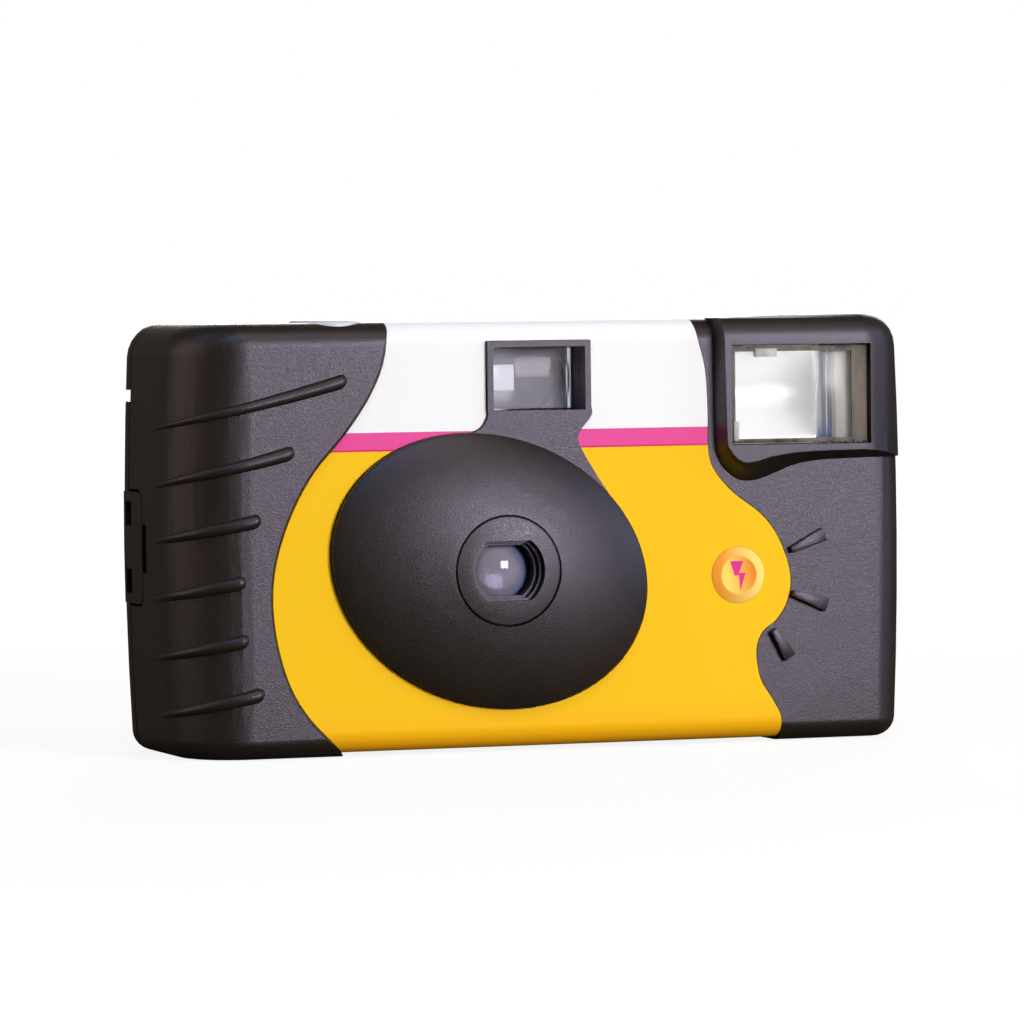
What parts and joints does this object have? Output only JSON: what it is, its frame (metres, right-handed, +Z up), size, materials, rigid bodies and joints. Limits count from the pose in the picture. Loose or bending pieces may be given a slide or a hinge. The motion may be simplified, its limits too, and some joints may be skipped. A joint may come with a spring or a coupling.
{
  "type": "disposable film camera",
  "caption": "Single-use 35 mm film camera: charcoal plastic shell with a ribbed grip, oval lens dome, viewfinder and built-in flash, wrapped in a coloured band, with a film drive inside.",
  "frame": {"origin": "middle of the body, on the surface that it stands on", "axes": "+Z up, the lens looks along -Y, +X to the right of someone who faces the lens"},
  "size_m": [0.1175, 0.0389, 0.0655],
  "materials": {
    "cover_plastic": "charcoal moulded plastic with a fine grain",
    "label": "printed coated paper label, white over a magenta line over yellow",
    "frame_plastic": "black moulded plastic",
    "clear_plastic": "clear moulded plastic",
    "grey_plastic": "pale grey moulded plastic",
    "counter_plastic": "off-white moulded plastic",
    "steel": "thin spring steel",
    "blade_metal": "blackened spring steel",
    "cartridge_steel": "lacquered sheet steel",
    "cap_metal": "pressed sheet metal",
    "felt": "black plush",
    "spool_plastic": "black moulded plastic",
    "film": "brown film base",
    "reflector": "bright metallised plastic",
    "flash_glass": "clear glass tube",
    "lamp_glass": "clear, orange when lit",
    "board": "green circuit board",
    "capacitor_sleeve": "shrink sleeve",
    "winding": "lacquered copper winding",
    "chip": "moulded component body",
    "cell_jacket": "plain battery jacket"
  },
  "bodies": {
    "camera": {"front_cover": "cover_plastic", "rear_cover": "cover_plastic", "wrap_label": "label", "lens_bezel": "cover_plastic", "taking_lens": "clear_plastic", "lens_plate": "frame_plastic", "film_frame": "frame_plastic", "viewfinder_front_lens": "clear_plastic", "viewfinder_tube": "frame_plastic", "viewfinder_eyepiece": "clear_plastic", "mechanism_plate": "frame_plastic", "counter_window": "clear_plastic", "cartridge_shell": "cartridge_steel", "cartridge_cap_top": "cap_metal", "cartridge_cap_bottom": "cap_metal", "light_trap_inner": "felt", "light_trap_outer": "felt", "film_strip": "film", "flash_lens": "clear_plastic", "flash_reflector": "reflector", "flash_tube": "flash_glass", "flash_switch_leaf": "steel", "flash_circuit_board": "board", "flash_capacitor": "capacitor_sleeve", "flash_transformer": "winding", "trigger_coil": "winding", "trigger_capacitor": "chip", "oscillator_transistor": "chip", "battery": "cell_jacket", "battery_contact_positive": "steel", "battery_contact_negative": "steel", "ready_lamp": "lamp_glass", "ready_light_pipe": "lamp_glass", "sync_contact": "steel"},
    "thumbwheel": {"thumbwheel": "grey_plastic", "cartridge_spool": "spool_plastic"},
    "sprocket": {"metering_sprocket": "grey_plastic"},
    "supply": {"supply_spool": "spool_plastic", "film_roll": "film"},
    "counter": {"counter_wheel": "counter_plastic"},
    "shutter_button": {"shutter_button": "grey_plastic"},
    "release_latch": {"release_latch": "grey_plastic"},
    "shutter_lever": {"shutter_lever": "grey_plastic"},
    "shutter_blade": {"shutter_blade": "blade_metal"},
    "flash_button": {"flash_button": "label"}
  },
  "joints": [
    {"name": "thumbwheel_turn", "type": "hinge", "parent": "camera", "child": "thumbwheel", "pos_m": [-0.04035, 0.004, 0.0544], "axis": [0, 0, 1], "continuous": true},
    {"name": "sprocket_turn", "type": "hinge", "parent": "camera", "child": "sprocket", "pos_m": [-0.019, 0.00575, 0.05], "axis": [0, 0, 1], "continuous": true},
    {"name": "supply_turn", "type": "hinge", "parent": "camera", "child": "supply", "pos_m": [0.03605, 0.0037, 0.0275], "axis": [0, 0, 1], "continuous": true},
    {"name": "counter_turn", "type": "hinge", "parent": "camera", "child": "counter", "pos_m": [-0.03485, 0.0087, 0.0587], "axis": [0, 0, 1], "continuous": true},
    {"name": "shutter_press", "type": "slide", "parent": "camera", "child": "shutter_button", "axis": [0, 0, 1], "range_m": [-0.0012, 0], "stiffness_N_per_m": 300, "springref_m": 0.0005},
    {"name": "latch_rock", "type": "hinge", "parent": "camera", "child": "release_latch", "pos_m": [-0.02715, -0.0052, 0.0585], "axis": [0, 1, 0], "range_deg": [-13.8, 0]},
    {"name": "lever_swing", "type": "hinge", "parent": "camera", "child": "shutter_lever", "pos_m": [-0.0065, -0.0043, 0.0442], "axis": [0, 0, 1], "range_deg": [0, 25], "stiffness_Nm_per_rad": 0.0004},
    {"name": "blade_swing", "type": "hinge", "parent": "camera", "child": "shutter_blade", "pos_m": [-0.002, -0.0118, 0.0335], "axis": [0, -1, 0], "range_deg": [0, 40], "stiffness_Nm_per_rad": 0.0003},
    {"name": "flash_press", "type": "slide", "parent": "camera", "child": "flash_button", "axis": [0, 1, 0], "range_m": [0, 0.0008], "stiffness_N_per_m": 400, "springref_m": -0.0003}
  ],
  "couplings": [
    {"joint": "sprocket_turn", "follows": "thumbwheel_turn", "ratio": 1},
    {"joint": "supply_turn", "follows": "thumbwheel_turn", "ratio": 0.672},
    {"joint": "counter_turn", "follows": "thumbwheel_turn", "ratio": -0.025},
    {"joint": "latch_rock", "follows": "shutter_press", "rad_per_m": 200}
  ]
}
